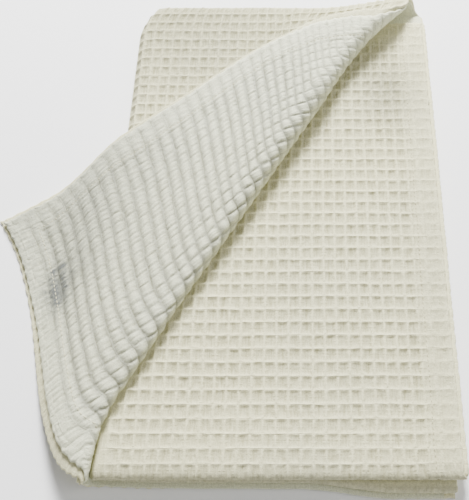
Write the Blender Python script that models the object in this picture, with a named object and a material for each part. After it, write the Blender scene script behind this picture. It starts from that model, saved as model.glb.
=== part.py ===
"""Waffle weave cotton blanket, folded to a rectangle with its top corner turned back.

One cloth of about 1.0 x 1.2 m. It is laid double across its width, then in thirds along
its length, then folded under across its width, which makes twelve layers. The near right
corner of the top pair of layers is turned back over the left side and rests on the floor.

Flat cloth: u runs across from one side hem, v along from the hem that ends up on top,
n through the thickness from the face. Folded: +X right, +Y away, +Z up, metres.
"""

import math

import bmesh
import bpy
from mathutils import Vector

# Thickness of the cloth, and the air between two layers
CLOTH = 0.0012
GAP = 0.00055

# Folded stack, before it leans
STACK_WIDTH = 0.2455
STACK_LENGTH = 0.3965
MIDDLE_HEM_SHORT = 0.0170       # the second layer's far hem, short of the stack's far side
UNDER_SHORT = 0.004             # the lower half's right side, short of the upper hems
TOP_HEM_SHORT = -0.006          # how far the top panel's near hem stops short of the near fold
TOP_SIDE_SHORT = 0.012          # and its side hem, short of the right side
LEAN = 0.0425                   # the whole stack leans to the right going away

# Layers: two cloths are a pair, three pairs a group, two groups the stack
PAIR = 2 * CLOTH + GAP
GROUP = 3 * PAIR + 2 * GAP
STACK_HEIGHT = 2 * GROUP + GAP
NEAR_RADIUS = PAIR + GAP / 2
FAR_RADIUS = GROUP / 2
LEFT_RADIUS = GROUP + GAP / 2
HALF_RADIUS = CLOTH + GAP / 2
HALF_ARC = math.pi * HALF_RADIUS
NEAR_ARC = math.pi * NEAR_RADIUS
FAR_ARC = math.pi * FAR_RADIUS
LEFT_ARC = math.pi * LEFT_RADIUS

RIGHT_X = STACK_WIDTH / 2
LEFT_X = -STACK_WIDTH / 2 + LEFT_RADIUS
FAR_Y = STACK_LENGTH / 2 - FAR_RADIUS
NEAR_Y = -STACK_LENGTH / 2 + NEAR_RADIUS
PANEL = RIGHT_X - LEFT_X
PANEL_LENGTH = FAR_Y - NEAR_Y
TOP_LENGTH = PANEL_LENGTH - TOP_HEM_SHORT
TOP_HEM_Y = NEAR_Y + TOP_HEM_SHORT
HALF = 2 * PANEL + LEFT_ARC - UNDER_SHORT
MIDDLE_LENGTH = STACK_LENGTH / 2 - MIDDLE_HEM_SHORT - NEAR_Y
CLOTH_WIDTH = 2 * HALF + HALF_ARC
CLOTH_LENGTH = TOP_LENGTH + FAR_ARC + PANEL_LENGTH + NEAR_ARC + MIDDLE_LENGTH

# Turned-back corner: its crest runs from the near left of the top panel to the far right
CREST_NEAR = Vector((LEFT_X, TOP_HEM_Y))
CREST_FAR = Vector((RIGHT_X - TOP_SIDE_SHORT, FAR_Y))
CREST_LENGTH = (CREST_FAR - CREST_NEAR).length
CREST_ALONG = (CREST_FAR - CREST_NEAR).normalized()
CREST_OUT = Vector((CREST_ALONG.y, -CREST_ALONG.x))
CORNER = Vector((RIGHT_X - TOP_SIDE_SHORT, TOP_HEM_Y)) - CREST_NEAR
CORNER_ALONG = CORNER.dot(CREST_ALONG)
CORNER_OUT = CORNER.dot(CREST_OUT)
# Inner radius of the roll: place along the crest, radius
ROLL_STOPS = ((0.0, 0.001), (0.330, 0.0095), (CREST_LENGTH, 0.0035))
FLAP_CLEAR = 0.003              # the turned-back part above the stack's top
FLOOR_CLEAR = 0.0003
FLAP_GAP = 0.0012               # more air between the two cloths of the turned-back part
FLAP_GAP_REACH = 0.030
HUMP_LENGTH = 0.100             # over which the roll's height dies away
DROOP_LENGTH = 0.055            # over which the flap comes down beyond the stack's left side
CREST_BOW = 0.028               # the crest bows to the left, over most of its length
BOW_NEAR_SHARE = 0.60           # part of the bow that is reached close to the crest's near end
BOW_NEAR_REACH = 0.055
BOW_MIDDLE_REACH = 0.130
BOW_FAR_REACH = 0.110
BOW_FADE = 0.090
NEAR_PULL = 0.0105              # the crest's near end is pulled out over the left fold
NEAR_PULL_REACH = 0.120
PULL_LOST = 0.52                # part of the pull that the turned-back part loses, further out
PULL_LOST_REACH = 0.060
FAR_LIFT = 0.010                # the far fold stands up where the crest runs out
FAR_LIFT_BACK = 0.003
FAR_LIFT_REACH = 0.100
FAR_LIFT_FADE = 0.070

# How the turned-back corner is drawn out of a flat fold, towards +X and +Y: shares of a
# smooth surface held at its corner, twice along the near hem, twice along the side hem
# and in its middle
DRAW_CORNER = Vector((0.0242, -0.0027))
DRAW_NEAR = (Vector((-0.0010, -0.0616)), Vector((0.0405, -0.0111)))
DRAW_SIDE = (Vector((0.0281, 0.0897)), Vector((0.0163, -0.0049)))
DRAW_MIDDLE = Vector((0.0170, 0.0035))

# Plan corners at the stack's far side, drawn in towards the far edge
INSET_LEFT = 0.011
INSET_LEFT_REACH = 0.032
INSET_RIGHT = 0.003
INSET_RIGHT_REACH = 0.020
CORNER_FADE = 0.120

# Cut lines: steps round the folds, and places in the plan shared by all layers
LEFT_STEPS = 8
FAR_STEPS = 6
NEAR_STEPS = 6
HALF_STEPS = 4
ROLL_STEPS = 8
PLAN_X = [LEFT_X + PANEL * share for share in (0.03, 0.07, 0.25, 0.5, 0.75)]
PLAN_Y = [NEAR_Y + PANEL_LENGTH * share for share in (0.05, 0.1, 0.17, 0.33, 0.5, 0.66, 0.82)]
PLAN_Y += [FAR_Y - reach for reach in (0.006, 0.013, 0.022, 0.040)]
FLAP_BEYOND = (0.010, 0.022, 0.036, 0.051, 0.066, 0.082, 0.098, 0.114, 0.131, 0.149, 0.167)
FLAP_ALONG_STEPS = 20
BASE_OUT = (-0.090, -0.050, -0.020)
SNAP = 0.0002
SPLIT_KEY = Vector((1.0, 1.3, 0.7))

# The lower half bulges out at the near side, more to the right
BULGE_LEFT = 0.001
BULGE_RIGHT = 0.0075
BULGE_FROM_X = 0.015
BULGE_TO_X = 0.085
BULGE_REACH = 0.120
BULGE_FADE = 0.040              # beside the left fold

# How far each hem stands out at the right side: the upper and the lower cloth of a pair
HEM_REACH = 0.060
HEM_DRIFT = {
    "top": (-TOP_SIDE_SHORT, -TOP_SIDE_SHORT),
    "bottom": (0.004, 0.002),
    "middle": (-0.001, 0.003),
}


def smooth(value):
    """Ease from 0 to 1."""
    value = min(max(value, 0.0), 1.0)
    return value * value * (3.0 - 2.0 * value)


def fold_double(u, n):
    """Lay the cloth double: return the place across and the height in the pair."""
    over = u - HALF
    if over <= 0:
        return u, n
    if over < HALF_ARC:
        angle = math.pi * over / HALF_ARC
        radius = HALF_RADIUS - n
        return HALF + radius * math.sin(angle), HALF_RADIUS - radius * math.cos(angle)
    return HALF - (over - HALF_ARC), 2 * HALF_RADIUS - n


def fold_thirds(v, m):
    """Fold the pair in thirds: return the place along and the height in the group."""
    if v <= TOP_LENGTH:
        return TOP_HEM_Y + v, GROUP - m
    v -= TOP_LENGTH
    if v < FAR_ARC:
        angle = math.pi * v / FAR_ARC
        radius = FAR_RADIUS - m
        return FAR_Y + radius * math.sin(angle), FAR_RADIUS + radius * math.cos(angle)
    v -= FAR_ARC
    if v <= PANEL_LENGTH:
        return FAR_Y - v, m
    v -= PANEL_LENGTH
    if v < NEAR_ARC:
        angle = math.pi * v / NEAR_ARC
        radius = NEAR_RADIUS - m
        return NEAR_Y - radius * math.sin(angle), NEAR_RADIUS - radius * math.cos(angle)
    v -= NEAR_ARC
    return NEAR_Y + v, 2 * NEAR_RADIUS - m


def fold_under(q, h):
    """Fold the group under at the left: return the place across and the height."""
    if q <= PANEL:
        return RIGHT_X - q, GROUP + GAP + h
    q -= PANEL
    if q < LEFT_ARC:
        angle = math.pi * q / LEFT_ARC
        radius = h + GAP / 2
        return LEFT_X - radius * math.sin(angle), LEFT_RADIUS + radius * math.cos(angle)
    return LEFT_X + q - LEFT_ARC, GROUP - h


def place_flat(q, y, h):
    """Place of a point that only the three main folds carry."""
    x, z = fold_under(q, h)
    return x, y, z


def crest_frame(x, y):
    """Distance along the crest, and out from it towards the corner."""
    place = Vector((x, y)) - CREST_NEAR
    return place.dot(CREST_ALONG), place.dot(CREST_OUT)


def roll_radius(along):
    """Inner radius of the roll, widest past the middle of the crest."""
    for (start, first), (end, second) in zip(ROLL_STOPS, ROLL_STOPS[1:]):
        if along <= end:
            break
    return first + (second - first) * (along - start) / (end - start)


def crest_bow(along):
    """Sideways bow of the crest, flat along its middle."""
    near = BOW_NEAR_SHARE * math.sin(math.pi / 2 * min(max(along / BOW_NEAR_REACH, 0.0), 1.0))
    near += (1 - BOW_NEAR_SHARE) * smooth(along / BOW_MIDDLE_REACH)
    far = min(max((CREST_LENGTH - along) / BOW_FAR_REACH, 0.0), 1.0)
    return -CREST_BOW * near * far * (2 - far)


def bow_fade(along, out):
    """How much of the crest's bow reaches a place on the flat side of it."""
    to_left = along * CREST_ALONG.x / CREST_ALONG.y
    to_far = (CREST_LENGTH - along) * CREST_ALONG.y / CREST_ALONG.x
    room = max(min(to_left, to_far, BOW_FADE), SNAP)
    return max(1 + out / room, 0.0)


def flap_floor(x):
    """Height of the turned-back part's underside where it lies or hangs."""
    outside = -STACK_WIDTH / 2 - x
    drop = smooth(outside / DROOP_LENGTH)
    high = STACK_HEIGHT + FLAP_CLEAR
    return high + (FLOOR_CLEAR - high) * drop


def near_pull(along):
    """Sideways pull of the crest's near end, out over the left fold."""
    return -NEAR_PULL * (1 - smooth(along / NEAR_PULL_REACH))


def far_lift(along, out):
    """How much of the far fold's lift reaches a place of the top panel."""
    along_share = smooth(1 - (CREST_LENGTH - along) / FAR_LIFT_REACH)
    return along_share * smooth(1 - abs(out) / FAR_LIFT_FADE)


def drawn_out(corner, side):
    """Shift of the turned-back part, from its shares of the corner and of the side hem."""
    near = 1 - side
    flat = 1 - corner
    shift = DRAW_CORNER * corner ** 3
    shift += 3 * corner * flat * flat * (DRAW_NEAR[0] * near ** 2 + DRAW_SIDE[0] * side ** 2)
    shift += 3 * corner * corner * flat * (DRAW_NEAR[1] * near + DRAW_SIDE[1] * side)
    return shift + 6 * corner * flat * flat * near * side * DRAW_MIDDLE


def turn_back(along, out, m, layer):
    """Roll the top pair over its crest and lay the corner out to the left."""
    inner = roll_radius(along)
    middle = inner + (CLOTH / 2 if layer == 0 else PAIR - CLOTH / 2)
    angle = out / middle
    if angle < math.pi:
        radius = inner + m
        side = radius * math.sin(angle)
        rise = inner - radius * math.cos(angle)
        beyond = 0.0
    else:
        side = -(out - math.pi * middle)
        rise = 2 * inner + m
        beyond = -side
    start = out / CORNER_OUT * CORNER_ALONG
    end = CREST_LENGTH + out / CORNER_OUT * (CORNER_ALONG - CREST_LENGTH)
    across = min(max((along - start) / max(end - start, SNAP), 0.0), 1.0)
    place = CREST_NEAR + CREST_ALONG * along + CREST_OUT * (side + crest_bow(along))
    place += drawn_out(beyond / (CORNER_OUT - math.pi * middle), across)
    place.x += near_pull(along) * (1 - PULL_LOST * smooth(beyond / PULL_LOST_REACH))
    fall = smooth(beyond / HUMP_LENGTH)
    lying = flap_floor(place.x) - STACK_HEIGHT
    height = STACK_HEIGHT + rise + (lying - 2 * inner) * fall
    height += (1 - fall) * min(lying - FLAP_CLEAR, 0.0)
    if layer == 1:
        height += FLAP_GAP * smooth(beyond / FLAP_GAP_REACH)
    lift = far_lift(along, beyond)
    return place.x, place.y + FAR_LIFT_BACK * lift, height + FAR_LIFT * lift


def hem_drift(v, layer):
    """How far a side hem stands out at a place along the cloth."""
    stops = (
        (0.0, "top"),
        (TOP_LENGTH, "top"),
        (TOP_LENGTH + FAR_ARC, "bottom"),
        (TOP_LENGTH + FAR_ARC + PANEL_LENGTH, "bottom"),
        (TOP_LENGTH + FAR_ARC + PANEL_LENGTH + NEAR_ARC, "middle"),
        (CLOTH_LENGTH, "middle"),
    )
    for (start, first), (end, second) in zip(stops, stops[1:]):
        if v <= end + SNAP:
            share = (v - start) / (end - start)
            return HEM_DRIFT[first][layer] * (1 - share) + HEM_DRIFT[second][layer] * share
    return HEM_DRIFT["middle"][layer]


def corner_inset(x, y, side, inset, reach):
    """Shift across that rounds one far corner of the stack's plan."""
    bend = min(max((y - (STACK_LENGTH / 2 - reach)) / reach, 0.0), 1.0)
    edge = min(max(1 - (STACK_WIDTH / 2 - side * x) / CORNER_FADE, 0.0), 1.0)
    return -side * inset * bend ** 2 * edge


def settle(x, y, z):
    """Give the stack its unevenness: bulging lower half, soft corners, lean."""
    if z < LEFT_RADIUS and x > LEFT_X:
        share = smooth((x - BULGE_FROM_X) / (BULGE_TO_X - BULGE_FROM_X))
        bulge = BULGE_LEFT + (BULGE_RIGHT - BULGE_LEFT) * share
        bulge *= smooth((x - LEFT_X) / BULGE_FADE)
        y -= bulge * smooth((NEAR_Y + BULGE_REACH - y) / BULGE_REACH)
    x += corner_inset(x, y, -1, INSET_LEFT, INSET_LEFT_REACH)
    x += corner_inset(x, y, 1, INSET_RIGHT, INSET_RIGHT_REACH)
    return x + LEAN * y, y, z


def place_point(u, v, n):
    """Carry a point of the flat cloth to its place in the folded blanket."""
    layer = 0 if u < HALF + HALF_ARC / 2 else 1
    q, m = fold_double(u, n)
    reach = PANEL if v < TOP_LENGTH + FAR_ARC else HEM_REACH
    q -= hem_drift(v, layer) * max(1 - q / reach, 0.0)
    y, h = fold_thirds(v, m)
    if v > TOP_LENGTH + FAR_ARC or q > PANEL + LEFT_ARC / 2:
        return settle(*place_flat(q, y, h))
    along, out = crest_frame(RIGHT_X - min(q, PANEL), min(y, FAR_Y) if v > TOP_LENGTH else y)
    if out > 0 and v <= TOP_LENGTH:
        return settle(*turn_back(along, out, m, layer))
    x, y, z = place_flat(q, y, h)
    outer = max(1 - 2 * (q - PANEL) / LEFT_ARC, 0.0) if q > PANEL else 1.0
    over = 1.0 if v <= TOP_LENGTH else 0.5 + 0.5 * math.cos(math.pi * (v - TOP_LENGTH) / FAR_ARC)
    x += near_pull(along) * outer * over
    lift = far_lift(along, out) * outer * over
    y += FAR_LIFT_BACK * lift
    z += FAR_LIFT * lift
    if q < PANEL and v <= TOP_LENGTH:
        bow = crest_bow(along) * bow_fade(along, out)
        x += CREST_OUT.x * bow
        y += CREST_OUT.y * bow
    return settle(x, y, z)


def bend_lines(start, length, steps):
    """Cut lines across one bend."""
    return [start + length * step / steps for step in range(steps + 1)]


def across_lines():
    """All cut lines that run along the cloth."""
    half = [RIGHT_X - x for x in PLAN_X]
    half += bend_lines(PANEL, LEFT_ARC, LEFT_STEPS)
    half += [PANEL + LEFT_ARC + x - LEFT_X for x in PLAN_X]
    lines = half + [CLOTH_WIDTH - line for line in half]
    return lines + bend_lines(HALF, HALF_ARC, HALF_STEPS)


def along_lines():
    """All cut lines that run across the cloth."""
    far = TOP_LENGTH + FAR_ARC
    near = far + PANEL_LENGTH
    middle = near + NEAR_ARC
    lines = [y - TOP_HEM_Y for y in PLAN_Y]
    lines += bend_lines(TOP_LENGTH, FAR_ARC, FAR_STEPS)
    lines += [far + FAR_Y - y for y in PLAN_Y]
    lines += bend_lines(near, NEAR_ARC, NEAR_STEPS)
    lines += [middle + y - NEAR_Y for y in PLAN_Y]
    return [line for line in lines if 0 < line < CLOTH_LENGTH]


def cut(bm, faces, point, normal):
    """Cut some faces of the flat cloth along one straight line."""
    edges = {edge for face in faces for edge in face.edges}
    verts = {vert for face in faces for vert in face.verts}
    geometry = list(verts) + list(edges) + list(faces)
    bmesh.ops.bisect_plane(bm, geom=geometry, dist=SNAP, plane_co=point, plane_no=normal)


def flat_point(layer, along, out):
    """Flat place of a point given in the crest's frame."""
    place = CREST_NEAR + CREST_ALONG * along + CREST_OUT * out
    q = (RIGHT_X - TOP_SIDE_SHORT - place.x) * PANEL / (PANEL - TOP_SIDE_SHORT)
    return Vector((q if layer == 0 else CLOTH_WIDTH - q, place.y - TOP_HEM_Y, 0))


def cut_between(bm, faces, layer, start, end):
    """Cut some faces along a line between two points of the crest's frame."""
    first = flat_point(layer, *start)
    last = flat_point(layer, *end)
    normal = (last - first).cross(Vector((0, 0, 1))).normalized()
    cut(bm, faces, first, normal)


def top_faces(bm, layer, turned, start=-CREST_LENGTH, end=2 * CREST_LENGTH):
    """Faces of one cloth's top panel, turned back or left lying, between two places along."""
    faces = []
    for face in bm.faces:
        centre = face.calc_center_median()
        q = centre.x if layer == 0 else CLOTH_WIDTH - centre.x
        if q > PANEL or centre.y > TOP_LENGTH:
            continue
        x = RIGHT_X - TOP_SIDE_SHORT - q * (1 - TOP_SIDE_SHORT / PANEL)
        along, out = crest_frame(x, centre.y + TOP_HEM_Y)
        if (out > 0) == turned and start < along < end:
            faces.append(face)
    return faces


def cut_flap(bm, layer):
    """Cut the turned-back part in a grid along the crest, then round its roll."""
    steps = [CREST_LENGTH * step / FLAP_ALONG_STEPS for step in range(1, FLAP_ALONG_STEPS)]
    for along in steps + [ROLL_STOPS[1][0]]:
        cut_between(bm, top_faces(bm, layer, True), layer, (along, 0), (along, CORNER_OUT))
    extra = CLOTH / 2 if layer == 0 else PAIR - CLOTH / 2
    lines = [(math.pi * step / ROLL_STEPS, 0.0) for step in range(1, ROLL_STEPS + 1)]
    lines += [(math.pi, beyond) for beyond in FLAP_BEYOND]
    for (start, first), (end, second) in zip(ROLL_STOPS, ROLL_STOPS[1:]):
        for angle, beyond in lines:
            near = (start, angle * (first + extra) + beyond)
            far = (end, angle * (second + extra) + beyond)
            cut_between(bm, top_faces(bm, layer, True, start, end), layer, near, far)


def split_quads(bm):
    """Split every quad over the same corners wherever layers lie on each other."""
    for face in bm.faces[:]:
        if len(face.verts) != 4:
            continue
        places = {vert: Vector(place_point(*vert.co)).dot(SPLIT_KEY) for vert in face.verts}
        low = min(places, key=places.get)
        high = max(places, key=places.get)
        if not bm.edges.get((low, high)):
            bmesh.utils.face_split(face, low, high)


def flat_cloth():
    """The flat cloth, cut wherever a fold will need an edge."""
    bm = bmesh.new()
    bmesh.ops.create_cube(bm, size=1.0)
    for vert in bm.verts:
        vert.co.x = (vert.co.x + 0.5) * CLOTH_WIDTH
        vert.co.y = (vert.co.y + 0.5) * CLOTH_LENGTH
        vert.co.z = (vert.co.z + 0.5) * CLOTH
    for line in (PANEL, CLOTH_WIDTH - PANEL):
        cut(bm, bm.faces[:], (line, 0, 0), (1, 0, 0))
    cut(bm, bm.faces[:], (0, TOP_LENGTH, 0), (0, 1, 0))
    for layer in (0, 1):
        everything = top_faces(bm, layer, True) + top_faces(bm, layer, False)
        cut_between(bm, everything, layer, (0, 0), (CREST_LENGTH, 0))
    for line, normal in [(x, (1, 0, 0)) for x in across_lines()] + [
            (y, (0, 1, 0)) for y in along_lines()]:
        turned = set(top_faces(bm, 0, True) + top_faces(bm, 1, True))
        lying = [face for face in bm.faces if face not in turned]
        cut(bm, lying, Vector(normal) * line, normal)
    for layer in (0, 1):
        cut_flap(bm, layer)
        for out in BASE_OUT:
            cut_between(bm, top_faces(bm, layer, False), layer, (0, out), (CREST_LENGTH, out))
    split_quads(bm)
    bmesh.ops.triangulate(bm, faces=bm.faces[:])
    return bm


def cotton():
    """Unbleached cotton."""
    material = bpy.data.materials.new("cotton")
    material.use_nodes = True
    shader = material.node_tree.nodes["Principled BSDF"]
    shader.inputs["Base Color"].default_value = (0.80, 0.79, 0.70, 1.0)
    shader.inputs["Roughness"].default_value = 0.9
    shader.inputs["Metallic"].default_value = 0.0
    return material


def build_blanket():
    """Fold the flat cloth into the blanket."""
    bm = flat_cloth()
    for vert in bm.verts:
        vert.co = place_point(*vert.co)
    bmesh.ops.recalc_face_normals(bm, faces=bm.faces[:])
    mesh = bpy.data.meshes.new("blanket")
    bm.to_mesh(mesh)
    bm.free()
    mesh.materials.append(cotton())
    blanket = bpy.data.objects.new("blanket", mesh)
    bpy.context.scene.collection.objects.link(blanket)
    return blanket


def main():
    """Clear the scene and build the blanket."""
    for old in list(bpy.data.objects):
        bpy.data.objects.remove(old)
    build_blanket()


main()
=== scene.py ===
"""Waffle weave cotton blanket: one cloth folded to twelve layers, a top corner turned back."""

import math
import random

import bpy
import numpy as np
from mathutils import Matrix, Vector, noise


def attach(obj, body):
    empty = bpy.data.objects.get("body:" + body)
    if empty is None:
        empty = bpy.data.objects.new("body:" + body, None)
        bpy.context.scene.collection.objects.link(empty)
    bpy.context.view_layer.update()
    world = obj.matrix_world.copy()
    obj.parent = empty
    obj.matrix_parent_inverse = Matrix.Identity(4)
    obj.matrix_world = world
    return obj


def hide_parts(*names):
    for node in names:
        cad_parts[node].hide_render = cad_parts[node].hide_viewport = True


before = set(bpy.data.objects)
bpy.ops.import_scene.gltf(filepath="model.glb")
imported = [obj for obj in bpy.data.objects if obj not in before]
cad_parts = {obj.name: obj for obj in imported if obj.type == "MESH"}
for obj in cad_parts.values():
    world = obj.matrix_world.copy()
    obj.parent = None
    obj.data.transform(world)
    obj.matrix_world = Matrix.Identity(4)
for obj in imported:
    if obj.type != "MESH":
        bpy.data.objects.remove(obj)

bl_info = {
    "name": "Folded waffle blanket",
    "version": (1, 0, 0),
    "blender": (4, 5, 0),
    "location": "3D View > Sidebar > Blanket",
    "description": "Makes a folded waffle weave cotton blanket and its stage",
    "category": "Add Mesh",
}

BODY = "root"
NODE = "blanket"

# ---------------------------------------------------------------- the folded cloth's sizes

# Thickness of the cloth, and the air between two layers
CLOTH = 0.0012
GAP = 0.00055

# Folded stack, before it leans
STACK_WIDTH = 0.2455
STACK_LENGTH = 0.3965
MIDDLE_HEM_SHORT = 0.0170       # the second layer's far hem, short of the stack's far side
UNDER_SHORT = 0.004             # the lower half's right side, short of the upper hems
TOP_HEM_SHORT = -0.006          # the top panel's near hem, short of the near fold: it reaches past
TOP_SIDE_SHORT = 0.012          # and its side hem, short of the right side
LEAN = 0.0425                   # the whole stack leans to the right going away

# Layers: two cloths are a pair, three pairs a group, two groups the stack
PAIR = 2 * CLOTH + GAP
GROUP = 3 * PAIR + 2 * GAP
STACK_HEIGHT = 2 * GROUP + GAP
NEAR_RADIUS = PAIR + GAP / 2
FAR_RADIUS = GROUP / 2
LEFT_RADIUS = GROUP + GAP / 2
HALF_RADIUS = CLOTH + GAP / 2
HALF_ARC = math.pi * HALF_RADIUS
NEAR_ARC = math.pi * NEAR_RADIUS
FAR_ARC = math.pi * FAR_RADIUS
LEFT_ARC = math.pi * LEFT_RADIUS

RIGHT_X = STACK_WIDTH / 2
LEFT_X = -STACK_WIDTH / 2 + LEFT_RADIUS
FAR_Y = STACK_LENGTH / 2 - FAR_RADIUS
NEAR_Y = -STACK_LENGTH / 2 + NEAR_RADIUS
PANEL = RIGHT_X - LEFT_X
PANEL_LENGTH = FAR_Y - NEAR_Y
TOP_LENGTH = PANEL_LENGTH - TOP_HEM_SHORT
TOP_HEM_Y = NEAR_Y + TOP_HEM_SHORT
HALF = 2 * PANEL + LEFT_ARC - UNDER_SHORT
FOLD_LINE = HALF + HALF_ARC / 2     # middle of the fold that lays the cloth double
MIDDLE_LENGTH = STACK_LENGTH / 2 - MIDDLE_HEM_SHORT - NEAR_Y
CLOTH_WIDTH = 2 * HALF + HALF_ARC
CLOTH_LENGTH = TOP_LENGTH + FAR_ARC + PANEL_LENGTH + NEAR_ARC + MIDDLE_LENGTH

# Where the panels and folds end along the cloth
FAR_END = TOP_LENGTH + FAR_ARC
NEAR_START = FAR_END + PANEL_LENGTH
NEAR_END = NEAR_START + NEAR_ARC
ROWS = (
    (TOP_LENGTH, "top"),
    (FAR_END, "far fold"),
    (NEAR_START, "bottom"),
    (NEAR_END, "near fold"),
)

# Turned-back corner: its crest runs from the near left of the top panel to the far right
CREST_NEAR = Vector((LEFT_X, TOP_HEM_Y))
CREST_FAR = Vector((RIGHT_X - TOP_SIDE_SHORT, FAR_Y))
CREST_LENGTH = (CREST_FAR - CREST_NEAR).length
CREST_ALONG = (CREST_FAR - CREST_NEAR).normalized()
CREST_OUT = Vector((CREST_ALONG.y, -CREST_ALONG.x))
CORNER = Vector((RIGHT_X - TOP_SIDE_SHORT, TOP_HEM_Y)) - CREST_NEAR
CORNER_ALONG = CORNER.dot(CREST_ALONG)
CORNER_OUT = CORNER.dot(CREST_OUT)
# Inner radius of the roll: place along the crest, radius
ROLL_STOPS = ((0.0, 0.001), (0.330, 0.0095), (CREST_LENGTH, 0.0035))
FLAP_CLEAR = 0.003              # the turned-back part above the stack's top
FLOOR_CLEAR = 0.0003            # and above the floor
FLAP_GAP = 0.0012               # more air between the two cloths of the turned-back part
FLAP_GAP_REACH = 0.030
HUMP_LENGTH = 0.100             # over which the roll's height dies away
DROOP_LENGTH = 0.055            # over which the flap comes down beyond the stack's left side
CREST_BOW = 0.028               # the crest bows to the left, over most of its length
BOW_NEAR_SHARE = 0.60           # part of the bow that is reached close to the crest's near end
BOW_NEAR_REACH = 0.055
BOW_MIDDLE_REACH = 0.130
BOW_FAR_REACH = 0.110
BOW_FADE = 0.090
NEAR_PULL = 0.0105              # the crest's near end is pulled out over the left fold
NEAR_PULL_REACH = 0.120
PULL_LOST = 0.52                # part of the pull that the turned-back part loses, further out
PULL_LOST_REACH = 0.060
FAR_LIFT = 0.010                # the far fold stands up where the crest runs out
FAR_LIFT_BACK = 0.003
FAR_LIFT_REACH = 0.100
FAR_LIFT_FADE = 0.070

# How the turned-back corner is drawn out of a flat fold: shares of a smooth surface held at
# its corner, twice along the near hem, twice along the side hem and in its middle
DRAW_CORNER = Vector((0.0242, -0.0027))
DRAW_NEAR = (Vector((-0.0010, -0.0616)), Vector((0.0405, -0.0111)))
DRAW_SIDE = (Vector((0.0281, 0.0897)), Vector((0.0163, -0.0049)))
DRAW_MIDDLE = Vector((0.0170, 0.0035))

# Plan corners at the stack's far side, drawn in towards the far edge
INSET_LEFT = 0.011
INSET_LEFT_REACH = 0.032
INSET_RIGHT = 0.003
INSET_RIGHT_REACH = 0.020
CORNER_FADE = 0.120
SNAP = 0.0002                   # shortest length that counts

# The lower half bulges out at the near side, more to the right
BULGE_LEFT = 0.001
BULGE_RIGHT = 0.0075
BULGE_FROM_X = 0.015
BULGE_TO_X = 0.085
BULGE_REACH = 0.120
BULGE_FADE = 0.040

# How far each hem stands out at the right side: the upper and the lower cloth of a pair
HEM_REACH = 0.060
HEM_DRIFT = {
    "top": (-TOP_SIDE_SHORT, -TOP_SIDE_SHORT),
    "bottom": (0.004, 0.002),
    "middle": (-0.001, 0.003),
}

# ---------------------------------------------------------------- the weave and the sewing

HEM_EDGE = 0.0045               # band along the cloth's edge, before the first ridge
EDGE_ROUND = 0.0025             # cells fade out within this distance of the edge
SCALLOP = 0.0008                # how much the edge waves in and out with the cells beside it
SAMPLES = (0.0, 0.07, 0.16, 0.30, 0.50, 0.70, 0.84, 0.93)     # across one cell, from a ridge
FINE = len(SAMPLES)
COARSE = 4                      # samples skipped where little of the cloth shows
HIDDEN = FINE                   # and where nothing shows
BESIDE = 0.006                  # cells within this distance of a fold or the crest belong to it
HEM_SHOWS = 0.014               # breadth of the hems that show at the edges of layers
RIM_LEVELS = 4                  # faces across the rounded edge of the cloth
THINNEST = 0.0002               # cloth left below the deepest places
LOWEST = 0.00005                # nothing lies lower over the floor
SEED = 7
CELL_DEPTHS = (0.90, 1.08)      # least and greatest share of the depth that single cells have

# A square cell: half widths of its ridges as shares of half a cell, how full its pit is, the share
# of its depth that is steep wall, and the wall's width
RIDGE_UP = 0.06
RIDGE_OVER = 0.05
PIT_FULL = 1.19
WALL_SHARE = 0.64
WALL_WIDTH = 0.25

# The other side's rows of swells: how square they are, and the dips at cell lines and in the middle
# of cells with their widths. Each pair is that of plain rows, and what is added by the crest
ROW_ROUND = (1.3, -0.4)
LINE_DIP = (0.48, 0.30)
LINE_DIP_WIDTH = 0.40
MIDDLE_DIP = (0.32, -0.26)
MIDDLE_DIP_WIDTH = 0.26
DIAMONDS_REACH = 0.050          # distance from the crest over which the swells change
OTHER_SIDE = 1.15               # relief of the cloth's other side, as a share of the face's
HEM_DEEPER = 1.5                # depth of its cells in the hems, as a share of the other hems'

# Shares of the cells' depth that are lost round the left fold, in the fold that lays the cloth
# double, in the upper part of the turned-back cloth, and by the near fold
FLAT_LEFT = 0.4
FLAT_DOUBLE = 0.6
FLAT_TAUT = 0.45
TAUT_FROM = 0.200
TAUT_REACH = 0.130
FLAT_NEAR = 0.18
NEAR_FLAT_FROM = 0.015
NEAR_FLAT_REACH = 0.060

# Shares of the ridges' height and the cells' depth at the outermost part of the near fold, and
# those that are lost on the roll's inner side. Share of the far fold past which they fade
NEAR_FOLD_SHARES = (0.5, 0.7)
ROLL_LOST = (0.7, 0.5)
FAR_FADE = 0.6
# On the roll's outer side: share of half a turn by which the cells have risen, how far they have,
# and the distance past the roll over which the rest comes
ROLL_RISE = 0.3
ROLL_SHARE = 0.70
ROLL_REST = 0.008
# Ridges under the flap: share of their height, and where past the crest they are bared
BARE_SHARE = 0.2
BARE_FROM = 0.002
BARE_REACH = 0.008

# The turned-back cloth's near hem lies back from that of the cloth under it, along its middle
HEM_BACK = 0.0045
HEM_BACK_FROM = 0.050
HEM_BACK_RISE = 0.120
HEM_BACK_TO = 0.185
HEM_BACK_FALL = 0.045
HEM_BACK_REACH = 0.090

# The back where the roll shows it: how far it stands out, its cells' depth, its hems' share
BACK_RELIEF = (0.0006, 0.0010, 0.6)

# Hems: the raised band's reach past the seam, its slope and its height, the breadth and depth of
# the rounding at the edge, and the half width and depth of the groove along the seam
HEM_BAND = (0.0012, 0.0016, 0.00035)
HEM_ROUND = (0.0030, 0.0006)
HEM_GROOVE = (0.0011, 0.0006)
HEM_ZONE = 0.002                # cells are shallower up to here past the seam
HEM_LEAST = 0.35                # share of the hem's shape that stays where its ridges have gone
SEAM_CELL = 2                   # hems are sewn along the middle of the second whole cell
SEAM_SAMPLE = SEAM_CELL * FINE + FINE // 2
SEAM_PLACE = SEAM_CELL - 0.5    # that place in cells, from the first ridge

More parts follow.
